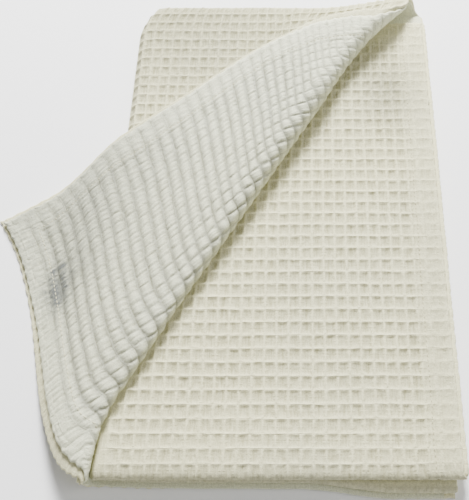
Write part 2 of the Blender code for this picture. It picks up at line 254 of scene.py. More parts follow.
# Stitches: their half thickness, the share of their length that is under the cloth, and their
# rings, each with its share of the length, its size and how far it lifts
STITCH_RADIUS = 0.00032
STITCH_GAP = 0.25
STITCH_RINGS = (
    (0.0, 0.4, -1.2), (0.15, 0.9, 0.2), (0.5, 1.0, 0.7), (0.85, 0.9, 0.2), (1.0, 0.4, -1.2))
STITCH_SIDES = 6
STITCH_SHOWN = 0.9              # they are sewn where the face has this share of its height

# Noise, in waves: swings a metre across and along, a layer of its own, and strength
SWELLS = ((14, 14, 3.0, 1.0), (34, 34, 8.0, 0.5))
SWELL_SHARE = 0.028             # part of the height by which the stack swells
WANDER_ACROSS = ((60, 26, 1.0, 1.0), (9, 9, 4.0, 1.0), (90, 190, 9.0, 0.9))
WANDER_ALONG = ((26, 60, 2.0, 1.0), (9, 9, 5.0, 1.0), (190, 90, 10.0, 0.9))
FUZZ = ((330, 330, 6.0, 0.0004), (700, 700, 7.0, 0.0004))
BLOTCHES = ((130, 130, 12.0, 0.2), (420, 420, 13.0, 0.7))
BLOTCH_MEAN = 0.95

# Grey marks on the cloth and painted shade: flat place across and along, reach both ways, strength
GREY_MARKS_AND_SHADE = (
    # A grey smudge on the turned-back corner, and a fainter spread round it
    (0.9250, 0.0205, 0.016, 0.010, 0.90),
    (0.9300, 0.0370, 0.018, 0.020, 0.22),
    # A grey patch at the far right of the middle panel
    (0.0340, 1.1150, 0.026, 0.034, 0.50),
    # Painted shade: the far left of the top panel, darker away from the light
    (0.2000, 0.3700, 0.110, 0.080, 0.40),
    # Painted shade: the tip of the turned-back corner
    (0.9900, 0.0300, 0.080, 0.090, 0.46),
    # Painted shade: the right side hem of the middle panel
    (0.0100, 0.9500, 0.014, 0.150, 0.16),
    # Painted shade: the front of the near fold
    (0.2500, 0.8030, 1.000, 0.012, 0.30),
)
# A dark scuff: its two ends, its half width and its strength
SCUFF = (Vector((0.9438, 0.0199)), Vector((0.9412, 0.0312)), 0.0013, 1.00)

# The turned-back part is drawn out of shape, but its cells keep their size: the cloth has slid.
# A table says how far: its rows along the cloth, the step of places across it and the finer one in
# which they are worked out, the share of half a turn round the roll from which the cloth has slid,
# and the place from which it hasn't
SLIDE_ROWS = 48
SLIDE_STEP = 0.002
SLIDE_WALK = SLIDE_STEP / 4
SLIDE_TURN = 0.4
SLIDE_END = PANEL + 0.030

OUTLINE_STEPS = 24              # along each side of the turned-back corner's outline
COVERED = 0.014                 # what lies this far inside the outline doesn't show
AT_CREST = 0.004                # cells are fine up to here on either side of the crest
ROLL_BEFORE = 0.010             # the back is fine from here before the crest
ROLL_PAST = 0.020               # and to here past the roll
CUT_ACROSS = 0.004              # the cloth's pieces are cut this far past the fold laid double
CUT_ALONG = 0.012               # and past the far fold

# ---------------------------------------------------------------- finishes and stage

COTTON_ROUGH = 0.92
COTTON_SPECULAR = 0.15
COTTON_SHEEN = (0.05, 0.60)     # weight and roughness
# Noise in the cotton: swings a metre and detail
FIBRE_NOISE = (1100.0, 2.0)
PATCH_NOISE = (9.0, 3.0)
THREAD_BUMP = 0.00035
BUMP_SHARE = 0.8
FLUFF = 0.6                     # how far loose fibres stand out, threads being 1
THREAD_TWIST = 0.3              # share of a thread that is regular
# Where threads change their way, in half cells: beside the ridges that run along the cloth, on the
# walls and in the pit
BESIDE_RIDGE = (-0.50, -0.20)
ON_WALL = (0.08, 0.20)
IN_PIT = (0.60, 0.90)
# Noise from one side of a thread to the other, and how far threads along the cloth show in the pit
STREAK_RANGE = (0.30, 0.70)
STREAK_DETAIL = 1.0
STREAK_RUN = 0.1                # swings along a thread for each across it
PIT_RANGE = (-1.5, 1.0)
# Noise and relief over which each tone comes up
PATCH_RANGE = (0.40, 0.62)
GAP_RANGE = (1.15, 0.35)
SPECK_RANGE = (0.62, 0.38)
# Strength of the painted shade between threads on the ridges and what it gains down in the cells,
# and that of the grey marks and painted shade without any gap's shade and what it loses to it
GAP_SHADE = (0.25, 0.75)
SOIL_AND_SHADE_TONE = (1.25, 0.50)
PLAIN_SPECULAR = 0.2
# Stitches and floor: share of the colour that the darker tone has, swings a metre, the noise
# between the two tones, and roughness
STITCH_GRAIN = (0.7, 2200.0, (0.35, 0.65), 0.80)
FLOOR_GRAIN = (0.985, 300.0, (0.0, 1.0), 0.85)

FLOOR_SIZE = 12.0
FLOOR_BELOW = 0.0002
ROOM_LIGHT = 0.42
# Lights: place, size and power
LIGHTS = {
    "window_light": ((0.0, 1.25, 1.15), 0.55, 118.0),
    "fill_light": ((0.95, -0.10, 1.40), 0.9, 7.0),
}
# Camera: its place, how far below level it looks, in degrees, its lens and sensor in millimetres,
# and the nearest thing that it sees
CAMERA_PLACE = (-0.0334, -0.2472, 0.4721)
CAMERA_DOWN = 65.19
CAMERA_LENS = 51.89
CAMERA_SENSOR = 36.0
CAMERA_CLIP = 0.01


def smooth(value):
    """Ease from 0 to 1."""
    value = min(max(value, 0.0), 1.0)
    return value * value * (3.0 - 2.0 * value)


def unevenness(x, y, waves):
    """Sum of waves of smooth noise at a place."""
    return sum(
        strength * noise.noise(Vector((x * across, y * along, layer)))
        for across, along, layer, strength in waves
    )


# ---------------------------------------------------------------- folding

def fold_double(u, n):
    """Lay the cloth double: return the place across and the height in the pair."""
    over = u - HALF
    if over <= 0:
        return u, n
    if over < HALF_ARC:
        angle = math.pi * over / HALF_ARC
        radius = HALF_RADIUS - n
        return HALF + radius * math.sin(angle), HALF_RADIUS - radius * math.cos(angle)
    return HALF - (over - HALF_ARC), 2 * HALF_RADIUS - n


def fold_thirds(v, m):
    """Fold the pair in thirds: return the place along and the height in the group."""
    if v <= TOP_LENGTH:
        return TOP_HEM_Y + v, GROUP - m
    v -= TOP_LENGTH
    if v < FAR_ARC:
        angle = math.pi * v / FAR_ARC
        radius = FAR_RADIUS - m
        return FAR_Y + radius * math.sin(angle), FAR_RADIUS + radius * math.cos(angle)
    v -= FAR_ARC
    if v <= PANEL_LENGTH:
        return FAR_Y - v, m
    v -= PANEL_LENGTH
    if v < NEAR_ARC:
        angle = math.pi * v / NEAR_ARC
        radius = NEAR_RADIUS - m
        return NEAR_Y - radius * math.sin(angle), NEAR_RADIUS - radius * math.cos(angle)
    v -= NEAR_ARC
    return NEAR_Y + v, 2 * NEAR_RADIUS - m


def fold_under(q, h):
    """Fold the group under at the left: return the place across and the height."""
    if q <= PANEL:
        return RIGHT_X - q, GROUP + GAP + h
    q -= PANEL
    if q < LEFT_ARC:
        angle = math.pi * q / LEFT_ARC
        radius = h + GAP / 2
        return LEFT_X - radius * math.sin(angle), LEFT_RADIUS + radius * math.cos(angle)
    return LEFT_X + q - LEFT_ARC, GROUP - h


def crest_frame(x, y):
    """Distance along the crest, and out from it towards the corner."""
    place = Vector((x, y)) - CREST_NEAR
    return place.dot(CREST_ALONG), place.dot(CREST_OUT)


def roll_radius(along):
    """Inner radius of the roll, widest past the middle of the crest."""
    for (start, first), (end, second) in zip(ROLL_STOPS, ROLL_STOPS[1:]):
        if along <= end:
            break
    return first + (second - first) * (along - start) / (end - start)


def crest_bow(along):
    """Sideways bow of the crest, flat along its middle."""
    near = BOW_NEAR_SHARE * math.sin(math.pi / 2 * min(max(along / BOW_NEAR_REACH, 0.0), 1.0))
    near += (1 - BOW_NEAR_SHARE) * smooth(along / BOW_MIDDLE_REACH)
    far = min(max((CREST_LENGTH - along) / BOW_FAR_REACH, 0.0), 1.0)
    return -CREST_BOW * near * far * (2 - far)


def bow_fade(along, out):
    """How much of the crest's bow reaches a place on the flat side of it."""
    to_left = along * CREST_ALONG.x / CREST_ALONG.y
    to_far = (CREST_LENGTH - along) * CREST_ALONG.y / CREST_ALONG.x
    room = max(min(to_left, to_far, BOW_FADE), SNAP)
    return max(1 + out / room, 0.0)


def flap_floor(x):
    """Height of the turned-back part's underside where it lies or hangs."""
    outside = -STACK_WIDTH / 2 - x
    drop = smooth(outside / DROOP_LENGTH)
    high = STACK_HEIGHT + FLAP_CLEAR
    return high + (FLOOR_CLEAR - high) * drop


def near_pull(along):
    """Sideways pull of the crest's near end, out over the left fold."""
    return -NEAR_PULL * (1 - smooth(along / NEAR_PULL_REACH))


def far_lift(along, out):
    """How much of the far fold's lift reaches a place of the top panel."""
    along_share = smooth(1 - (CREST_LENGTH - along) / FAR_LIFT_REACH)
    return along_share * smooth(1 - abs(out) / FAR_LIFT_FADE)


def drawn_out(corner, side):
    """Shift of the turned-back part, from its shares of the corner and of the side hem."""
    near = 1 - side
    flat = 1 - corner
    shift = DRAW_CORNER * corner ** 3
    shift += 3 * corner * flat * flat * (DRAW_NEAR[0] * near ** 2 + DRAW_SIDE[0] * side ** 2)
    shift += 3 * corner * corner * flat * (DRAW_NEAR[1] * near + DRAW_SIDE[1] * side)
    return shift + 6 * corner * flat * flat * near * side * DRAW_MIDDLE


def turn_back(along, out, m, layer):
    """Roll the top pair over its crest and lay the corner out to the left."""
    inner = roll_radius(along)
    middle = inner + (CLOTH / 2 if layer == 0 else PAIR - CLOTH / 2)
    angle = out / middle
    if angle < math.pi:
        radius = inner + m
        side = radius * math.sin(angle)
        rise = inner - radius * math.cos(angle)
        beyond = 0.0
    else:
        side = -(out - math.pi * middle)
        rise = 2 * inner + m
        beyond = -side
    start = out / CORNER_OUT * CORNER_ALONG
    end = CREST_LENGTH + out / CORNER_OUT * (CORNER_ALONG - CREST_LENGTH)
    across = min(max((along - start) / max(end - start, SNAP), 0.0), 1.0)
    place = CREST_NEAR + CREST_ALONG * along + CREST_OUT * (side + crest_bow(along))
    place += drawn_out(beyond / (CORNER_OUT - math.pi * middle), across)
    place.x += near_pull(along) * (1 - PULL_LOST * smooth(beyond / PULL_LOST_REACH))
    fall = smooth(beyond / HUMP_LENGTH)
    lying = flap_floor(place.x) - STACK_HEIGHT
    height = STACK_HEIGHT + rise + (lying - 2 * inner) * fall
    height += (1 - fall) * min(lying - FLAP_CLEAR, 0.0)
    if layer == 1:
        height += FLAP_GAP * smooth(beyond / FLAP_GAP_REACH)
    lift = far_lift(along, beyond)
    return place.x, place.y + FAR_LIFT_BACK * lift, height + FAR_LIFT * lift


def hem_drift(v, layer):
    """How far a side hem stands out at a place along the cloth."""
    stops = (
        (0.0, "top"),
        (TOP_LENGTH, "top"),
        (FAR_END, "bottom"),
        (NEAR_START, "bottom"),
        (NEAR_END, "middle"),
        (CLOTH_LENGTH, "middle"),
    )
    for (start, first), (end, second) in zip(stops, stops[1:]):
        if v <= end + SNAP:
            share = (v - start) / (end - start)
            return HEM_DRIFT[first][layer] * (1 - share) + HEM_DRIFT[second][layer] * share
    return HEM_DRIFT["middle"][layer]


def corner_inset(x, y, side, inset, reach):
    """Shift across that rounds one far corner of the stack's plan."""
    bend = min(max((y - (STACK_LENGTH / 2 - reach)) / reach, 0.0), 1.0)
    edge = min(max(1 - (STACK_WIDTH / 2 - side * x) / CORNER_FADE, 0.0), 1.0)
    return -side * inset * bend ** 2 * edge


def settle(x, y, z):
    """Give the stack its unevenness: bulging lower half, soft corners, lean."""
    if z < LEFT_RADIUS and x > LEFT_X:
        share = smooth((x - BULGE_FROM_X) / (BULGE_TO_X - BULGE_FROM_X))
        bulge = BULGE_LEFT + (BULGE_RIGHT - BULGE_LEFT) * share
        bulge *= smooth((x - LEFT_X) / BULGE_FADE)
        y -= bulge * smooth((NEAR_Y + BULGE_REACH - y) / BULGE_REACH)
    x += corner_inset(x, y, -1, INSET_LEFT, INSET_LEFT_REACH)
    x += corner_inset(x, y, 1, INSET_RIGHT, INSET_RIGHT_REACH)
    return x + LEAN * y, y, z


def place_point(u, v, n):
    """Carry a point of the flat cloth to its place in the folded blanket."""
    layer = 0 if u < FOLD_LINE else 1
    q, m = fold_double(u, n)
    reach = PANEL if v < FAR_END else HEM_REACH
    q -= hem_drift(v, layer) * max(1 - q / reach, 0.0)
    y, h = fold_thirds(v, m)
    if v > FAR_END or q > PANEL + LEFT_ARC / 2:
        x, z = fold_under(q, h)
        return settle(x, y, z)
    along, out = crest_frame(RIGHT_X - min(q, PANEL), min(y, FAR_Y) if v > TOP_LENGTH else y)
    if out > 0 and v <= TOP_LENGTH:
        return settle(*turn_back(along, out, m, layer))
    x, z = fold_under(q, h)
    outer = max(1 - 2 * (q - PANEL) / LEFT_ARC, 0.0) if q > PANEL else 1.0
    over = 1.0 if v <= TOP_LENGTH else 0.5 + 0.5 * math.cos(math.pi * (v - TOP_LENGTH) / FAR_ARC)
    x += near_pull(along) * outer * over
    lift = far_lift(along, out) * outer * over
    y += FAR_LIFT_BACK * lift
    z += FAR_LIFT * lift
    if q < PANEL and v <= TOP_LENGTH:
        bow = crest_bow(along) * bow_fade(along, out)
        x += CREST_OUT.x * bow
        y += CREST_OUT.y * bow
    return settle(x, y, z)


def folded(u, v, n):
    """Place in the blanket of a point of the flat cloth, with soft swells, none at the floor."""
    x, y, z = place_point(u, v, n)
    return x, y, max(z * (1 + SWELL_SHARE * unevenness(x, y, SWELLS)), LOWEST)


def crest_place(u, v):
    """Distances along and out from the crest of a place of the top panel or the panel below.

    The panel below lies still where the crest is bowed and pulled to the left, which bares it.
    """
    q = min(u, CLOTH_WIDTH - u)
    if v < FAR_END:
        drift = TOP_SIDE_SHORT * max(1 - q / PANEL, 0.0)
        return crest_frame(RIGHT_X - q - drift, TOP_HEM_Y + v)
    along, out = crest_frame(RIGHT_X - q, NEAR_Y + v - NEAR_END)
    return along, out - crest_bow(along) - near_pull(along) * CREST_OUT.x


def slid_row(v):
    """Where places across the turned-back part have slid to, at one place along the cloth."""
    last = folded(CLOTH_WIDTH, v, 0.0)
    walked, crossed, slid = 0.0, 0.0, [0.0]
    while True:
        following = crossed + SLIDE_WALK
        along, out = crest_place(CLOTH_WIDTH - following, v)
        if out < SLIDE_TURN * math.pi * roll_radius(along) or following > SLIDE_END:
            break
        place = folded(CLOTH_WIDTH - following, v, 0.0)
        walked += math.dist(last, place)
        last, crossed = place, following
        while len(slid) * SLIDE_STEP < walked:
            slid.append(crossed)
    rest = (SLIDE_END - crossed) / (SLIDE_END - walked)
    while len(slid) * SLIDE_STEP < SLIDE_END:
        slid.append(crossed + (len(slid) * SLIDE_STEP - walked) * rest)
    return slid + [SLIDE_END, SLIDE_END]


def hem_back(u, v):
    """How far the turned-back cloth's near hem stops short of that of the cloth under it."""
    q = CLOTH_WIDTH - u
    if u < FOLD_LINE:
        return 0.0
    share = smooth((q - HEM_BACK_FROM) / HEM_BACK_RISE)
    share *= 1 - smooth((q - HEM_BACK_TO) / HEM_BACK_FALL)
    return HEM_BACK * share * max(1 - v / HEM_BACK_REACH, 0.0)


class Slide:
    """How the cloth of the turned-back part has slid, so that its cells keep their size."""

    def __init__(self):
        """Work out the table of places."""
        self.rows = [slid_row(TOP_LENGTH * row / SLIDE_ROWS) for row in range(SLIDE_ROWS + 1)]

    def place_across(self, u, v):
        """Place across the cloth that a place has slid to."""
        q = CLOTH_WIDTH - u
        if u < FOLD_LINE or q >= SLIDE_END or v >= TOP_LENGTH:
            return u
        row, row_share = divmod(v / TOP_LENGTH * SLIDE_ROWS, 1.0)
        step, step_share = divmod(max(q, 0.0) / SLIDE_STEP, 1.0)
        row, step = int(row), int(step)
        near, far = (
            line[step] + (line[step + 1] - line[step]) * step_share
            for line in (self.rows[row], self.rows[row + 1])
        )
        return CLOTH_WIDTH - near - (far - near) * row_share - min(q, 0.0)


# ---------------------------------------------------------------- the cloth's two surfaces

def cell_lines(length, cell):
    """Places of the ridges along one way of the cloth, and of its two edges."""
    count = round((length - 2 * HEM_EDGE) / cell)
    step = (length - 2 * HEM_EDGE) / count
    return [0.0] + [HEM_EDGE + step * line for line in range(count + 1)] + [length]


def line_after(lines, place):
    """Number of the first line beyond a place."""
    return next(number for number, line in enumerate(lines) if line > place)


def cell_depth(off_up, off_over):
    """Depth in a cell: 0 on its ridges, 1 in its middle, from the shares off the two ways."""
    off_up = max(off_up - RIDGE_UP, 0.0) / (1 - RIDGE_UP)
    off_over = max(off_over - RIDGE_OVER, 0.0) / (1 - RIDGE_OVER)
    if off_up == 0 or off_over == 0:
        return 0.0
    pit = min(PIT_FULL * off_up * off_over / (off_up ** 4 + off_over ** 4) ** 0.25, 1.0)
    return (1 - WALL_SHARE) * pit + WALL_SHARE * (1 - math.exp(-(pit / WALL_WIDTH) ** 2))


def pillow_depth(off_up, off_over, near):
    """The same on the cloth's other side, 1 in the grooves.

    Each cell swells twice along its row, but only once near the crest, where near is 1.
    """
    power, at_line, in_middle = (
        plain + added * near for plain, added in (ROW_ROUND, LINE_DIP, MIDDLE_DIP)
    )
    row = math.sin(math.pi / 2 * off_over) ** power
    lumps = 1 - at_line * max(1 - off_up / LINE_DIP_WIDTH, 0.0)
    lumps -= in_middle * math.exp(-((1 - off_up) / MIDDLE_DIP_WIDTH) ** 2)
    return 1 - row * lumps


def past_crest(along, out):
    """How far a place of the turned-back cloth lies beyond the outside of its roll."""
    return out - math.pi / 2 * (roll_radius(along) + PAIR)


def inside(x, y, outline):
    """Whether a place of the plan is inside a closed outline."""
    odd = False
    for (x0, y0), (x1, y1) in zip(outline, outline[1:] + outline[:1]):
        if (y0 > y) != (y1 > y) and x < x0 + (y - y0) / (y1 - y0) * (x1 - x0):
            odd = not odd
    return odd


def flap_outline():
    """Plan of the turned-back corner: its two hems, then its crest."""
    steps = [step / OUTLINE_STEPS for step in range(OUTLINE_STEPS)]
    outline = [folded(0.0, TOP_LENGTH * (1 - share), 0.0)[:2] for share in steps]
    outline += [folded(PANEL * share, 0.0, 0.0)[:2] for share in steps]
    for share in steps:
        along = CREST_LENGTH * share
        place = CREST_NEAR + CREST_ALONG * along + CREST_OUT * crest_bow(along)
        outline.append(settle(place.x + near_pull(along), place.y, STACK_HEIGHT)[:2])
    return outline


def under_flap(x, y, outline):
    """Whether the flap covers a place and everything about it."""
    around = [math.pi / 4 * turn for turn in range(8)]
    return all(
        inside(x + COVERED * math.cos(angle), y + COVERED * math.sin(angle), outline)
        for angle in around
    )


def stretch(u, v):
    """Where a place of the flat cloth ends up: its layer, place across, fold or panel."""
    row = next((name for end, name in ROWS if v <= end), "middle")
    return 0 if u < FOLD_LINE else 1, min(u, CLOTH_WIDTH - u), row


def face_shares(u, v):
    """Shares of the ridges' height and of the cells' depth that the face has at a place."""
    layer, q, row = stretch(u, v)
    if row in ("top", "middle") and q < PANEL:
        along, out = crest_place(u, v)
    if layer == 1:
        if row != "top" or q > PANEL:
            return 0.0, 0.0
        turn = out / (math.pi * (roll_radius(along) + PAIR))
        rest = smooth(past_crest(along, out) / ROLL_REST)
        shown = smooth(turn / ROLL_RISE) * (ROLL_SHARE + (1 - ROLL_SHARE) * rest)
        return shown, shown * (1 - FLAT_TAUT * smooth((v - TAUT_FROM) / TAUT_REACH))
    under = smooth((q - PANEL) / LEFT_ARC)
    bend = 1 - FLAT_DOUBLE * (1 - smooth((HALF - BESIDE / 2 - q) / BESIDE))
    if row == "top" and q < PANEL and out > 0:
        stand, deep = (1 - lost * smooth(out / BESIDE) for lost in ROLL_LOST)
        return stand, deep
    if row in ("top", "far fold"):
        round_fold = max((v - TOP_LENGTH) / FAR_ARC, 0.0)
        fade = 1 - smooth((round_fold - FAR_FADE) / (1 - FAR_FADE))
        return fade * (1 - under), fade * (1 - FLAT_LEFT * under) * bend
    if row == "bottom" or row == "middle" and q > PANEL:
        return 0.0, 0.0
    if row == "middle":
        shown = smooth((out - BARE_FROM) / BARE_REACH)
        flat = FLAT_NEAR * (1 - smooth((v - NEAR_END - NEAR_FLAT_FROM) / NEAR_FLAT_REACH))
        return BARE_SHARE + (1 - BARE_SHARE) * shown, shown * (1 - flat)
    stand, deep = NEAR_FOLD_SHARES
    share = (v - NEAR_START) / NEAR_ARC
    if share < 0.5 or q > PANEL:
        shown = math.sin(math.pi * share)
        return stand * shown, deep * shown * bend
    rise = smooth(2 * share - 1)
    return stand + (1 - stand) * rise, deep + (1 - FLAT_NEAR - deep) * rise


def in_fold(q, row):
    """Whether a place is on one of the three folds of the stack's sides."""
    return row in ("far fold", "near fold") or PANEL - BESIDE < q < PANEL + LEFT_ARC + BESIDE


def face_step(u, v, outline):
    """Samples skipped in a cell of the face: 1 where it shows well, more where it shows less."""
    layer, q, row = stretch(u, v)
    folds = in_fold(q, row)
    if q > HALF - BESIDE:
        return 1
    if row in ("top", "middle") and q < PANEL:
        along, out = crest_place(u, v)
        if layer == 1:
            if row == "top" and out > -BESIDE:
                return 1
        elif row == "middle":
            if out > -AT_CREST:
                return 1
        elif out > AT_CREST:
            return 2 if min(q, v) < HEM_SHOWS else COARSE
        elif out > -BESIDE or not under_flap(*folded(u, v, 0.0)[:2], outline):
            return 1
    if layer == 0 and v < FAR_END + BESIDE:
        if row == "far fold" and q < PANEL + LEFT_ARC or row == "top" and folds:
            return 1
        return 2 if folds or q > PANEL else HIDDEN
    if folds:
        return 1 if layer == 0 and row == "near fold" else 2
    return 2 if q < HEM_SHOWS else HIDDEN


def back_step(u, v):
    """Samples skipped in a cell of the back."""
    layer, q, row = stretch(u, v)
    if in_fold(q, row) or q > HALF - BESIDE:
        return 2
    if row == "top" and q < PANEL:
        along, out = crest_place(u, v)
        if out > -ROLL_BEFORE:
            if min(q, v) < HEM_SHOWS:
                return 1 if layer == 0 else 2
            return 2 if out < math.pi * roll_radius(along) + ROLL_PAST else COARSE
    return 2 if q < HEM_SHOWS else HIDDEN


def soil_and_shade(u, v):
    """How grey the cloth is at a flat place, from 0 to 1: real marks and painted shade."""
    patchy = BLOTCH_MEAN + unevenness(u, v, BLOTCHES)
    grey = 0.0
    for across, along, wide, long, strength in GREY_MARKS_AND_SHADE:
        grey += strength * math.exp(-((u - across) / wide) ** 2 - ((v - along) / long) ** 2)
    start, end, width, strength = SCUFF
    place = Vector((u, v))
    share = min(max((place - start).dot(end - start) / (end - start).length_squared, 0.0), 1.0)
    beside = (place - start.lerp(end, share)).length
    return min(max(grey * patchy, 0.0) + strength * math.exp(-(beside / width) ** 2), 1.0)


def hem_distance(u, v):
    """Distance from the nearest edge of the cloth."""
    return min(u, CLOTH_WIDTH - u, v, CLOTH_LENGTH - v)


def hem_shape(distance, seam):
    """Height of the hem over plain cloth: a raised band, pulled in where it is sewn."""
    (past, slope, height), (breadth, fall), (half_width, depth) = HEM_BAND, HEM_ROUND, HEM_GROOVE
    band = smooth((seam + past - distance) / slope)
    rounding = max(1 - distance / breadth, 0.0) ** 2
    groove = math.exp(-((distance - seam) / half_width) ** 2)
    return height * band - fall * rounding - depth * groove


def off_ridges(number_u, number_v):
    """Shares of half a cell that a sample lies off the ridges of the two ways."""
    return [1 - abs(2 * SAMPLES[number % FINE] - 1) for number in (number_u, number_v)]


class Weave:
    """The cloth's cells: their lines, their unevenness and how far its surfaces stand out."""

    def __init__(self, sizes):
        """Lay out the ridges for the chosen sizes."""
        self.sizes = sizes
        self.slide = Slide()
        self.up_lines = cell_lines(CLOTH_WIDTH, sizes.cell_across)
        self.over_lines = cell_lines(CLOTH_LENGTH, sizes.cell_along)
        self.side_seam = HEM_EDGE + SEAM_PLACE * (self.up_lines[2] - self.up_lines[1])
        self.end_seam = HEM_EDGE + SEAM_PLACE * (self.over_lines[2] - self.over_lines[1])
        self.cut_across = line_after(self.up_lines, HALF + HALF_ARC + CUT_ACROSS)
        self.cut_along = line_after(self.over_lines, FAR_END + CUT_ALONG)
        rows, columns = len(self.over_lines), len(self.up_lines)
        chance = random.Random(SEED)
        self.depths = [[chance.uniform(*CELL_DEPTHS) for _ in range(columns)] for _ in range(rows)]

    def flat_place(self, number_u, number_v):
        """Flat place of a sample, before the ridges wander."""
        place = []
        for number, lines in ((number_u, self.up_lines), (number_v, self.over_lines)):
            cell, sample = divmod(number, FINE)
            start = lines[cell]
            end = lines[min(cell + 1, len(lines) - 1)]
            place.append(start + (end - start) * SAMPLES[sample])
        return place

    def wander(self, u, v):
        """Sideways shift of the ridges from straight lines."""
        amount = self.sizes.wander
        return amount * unevenness(u, v, WANDER_ACROSS), amount * unevenness(u, v, WANDER_ALONG)

    @staticmethod
    def edge_side(place, length):
        """1 at the cloth's first edge, -1 at its last one, 0 beyond the band along them."""
        return max(1 - place / HEM_EDGE, 0.0) - max(1 - (length - place) / HEM_EDGE, 0.0)

    def seam_offset(self, u, v):
        """Distance from the edge and the distance at which that edge's hem is sewn."""
        distance = hem_distance(u, v)
        near_end = distance in (v, CLOTH_LENGTH - v)
        return distance, self.end_seam if near_end else self.side_seam

    def relief(self, number_u, number_v, u, v, turned, near):
        """Share of a cell's depth at a sample, which fades out towards the cloth's edge."""
        off_up, off_over = off_ridges(number_u, number_v)
        distance, seam = self.seam_offset(u, v)
        half_cell = (seam - HEM_EDGE) / (2 * SEAM_PLACE)
        if distance < HEM_EDGE + half_cell:
            if distance in (u, CLOTH_WIDTH - u):
                off_up = 1.0
            else:
                off_over = 1.0
        depth = pillow_depth(off_up, off_over, near) if turned else cell_depth(off_up, off_over)
        if distance < seam + HEM_ZONE:
            deeper = HEM_DEEPER if turned else 1.0
            depth *= self.sizes.hem_depth * deeper * min(distance / EDGE_ROUND, 1.0)
        return depth * self.depths[min(number_v // FINE, len(self.depths) - 1)][number_u // FINE]

    def surface(self, side, number_u, number_v):
        """A sample's flat place, its place on the cloth that has slid, its height and its depth.

        The height is that through the cloth, and the depth the share of a cell's.
        """
        u, v = self.flat_place(number_u, number_v)
        turned = u > FOLD_LINE
        distance, seam = self.seam_offset(u, v)
        slid = self.slide.place_across(u, v)
        near = 0.0
        if turned and v < TOP_LENGTH and CLOTH_WIDTH - slid < PANEL:
            near = 1 - smooth(past_crest(*crest_place(slid, v)) / DIAMONDS_REACH)
        depth = self.relief(number_u, number_v, u, v, turned, near)
        shift_u, shift_v = self.wander(u, v)
        off_up, off_over = off_ridges(number_u, number_v)
        shift_u -= self.edge_side(u, CLOTH_WIDTH) * SCALLOP * (0.5 - off_over)
        shift_v -= self.edge_side(v, CLOTH_LENGTH) * SCALLOP * (0.5 - off_up)
        shift_v += hem_back(u, v)
        place = (self.slide.place_across(u + shift_u, v + shift_v), v + shift_v)
        if side == "back":
            layer, q, row = stretch(slid, v)
            strip = layer == 0 and row == "top" and q < PANEL and crest_place(slid, v)[1] > 0
            if not strip:
                return (u, v), place, CLOTH, 0.0
            stand, deep, share = BACK_RELIEF
            height = stand - deep * depth + share * hem_shape(distance, seam)
            # Painted shade: the strip of back that shows beneath the turned-back corner gets at
            # least half of the cells' darker colour
            return (u, v), place, CLOTH + height, 0.5 + 0.5 * depth
        stand, deep = (share * (OTHER_SIDE if turned else 1.0) for share in face_shares(slid, v))
        height = stand * (self.sizes.ridge_stand + unevenness(u, v, FUZZ))
        height -= deep * depth * self.sizes.cell_depth
        height += max(stand, HEM_LEAST * deep) * hem_shape(distance, seam)
        return (u, v), place, min(-height, CLOTH - THINNEST), depth * deep


def ring_of(first, second, step, beside):
    """Samples round one square of a cell, with those that finer cells beside it add."""
    left, right, near, far = beside
    along_near = near if second == 0 else step
    along_right = right if first + step == FINE else step
    along_far = far if second + step == FINE else step
    along_left = left if first == 0 else step
    ring = [(first + k, second) for k in range(0, step, along_near)]
    ring += [(first + step, second + k) for k in range(0, step, along_right)]
    ring += [(first + step - k, second + step) for k in range(0, step, along_far)]
    return ring + [(first, second + step - k) for k in range(0, step, along_left)]


def woven_piece(name, weave, across, along, outline):
    """One stretch of the folded cloth as a closed mesh, between two cell lines each way."""
    steps = {"face": {}, "back": {}}
    for column in range(*across):
        for row in range(*along):
            u = (weave.up_lines[column] + weave.up_lines[column + 1]) / 2
            v = (weave.over_lines[row] + weave.over_lines[row + 1]) / 2
            u = weave.slide.place_across(u, v)
            steps["face"][column, row] = face_step(u, v, outline)
            steps["back"][column, row] = back_step(u, v)
    numbers, points, flats, depths, faces = {}, [], [], [], []

    def sample(side, number_u, number_v):
        """Number of a sample's point, made when it is first met."""
        key = side, number_u, number_v
        if key not in numbers:
            numbers[key] = len(points)
            flat, place, n, depth = weave.surface(*key)
            points.append(folded(*place, n))
            flats.append(flat)
            depths.append(depth)
        return numbers[key]

    def step_beside(side, own, cell):
        """The finer step of a cell and the one beside it, or the other side's past the edge."""
        if cell in steps[side]:
            return min(own[side], steps[side][cell])
        return min(own.values())

    for column in range(*across):
        for row in range(*along):
            own = {side: steps[side][column, row] for side in steps}
            around = ((column - 1, row), (column + 1, row), (column, row - 1), (column, row + 1))
            for side, step in own.items():
                beside = [step_beside(side, own, cell) for cell in around]
                for first in range(0, FINE, step):
                    for second in range(0, FINE, step):
                        ring = [
                            sample(side, column * FINE + a, row * FINE + b)
                            for a, b in ring_of(first, second, step, beside)
                        ]
                        faces.append(ring if side == "back" else ring[::-1])
    faces += edge_faces(weave, edge_walk(steps, across, along), sample, points, flats, depths)
    return finish_cloth(name, points, faces, flats, depths)


def edge_walk(steps, across, along):
    """Samples round a stretch of cloth."""
    (left, right), (near, far) = across, along

    def shares(column, row):
        """Samples along one side of a cell, as fine as the finer of its two faces."""
        return range(0, FINE, min(side[column, row] for side in steps.values()))

    walk = []
    for column in range(left, right):
        walk += [(column * FINE + k, near * FINE) for k in shares(column, near)]
    for row in range(near, far):
        walk += [(right * FINE, row * FINE + k) for k in shares(right - 1, row)]
    for column in reversed(range(left, right)):
        walk += [((column + 1) * FINE - k, far * FINE) for k in shares(column, far - 1)]
    for row in reversed(range(near, far)):
        walk += [(left * FINE, (row + 1) * FINE - k) for k in shares(left, row)]
    return walk


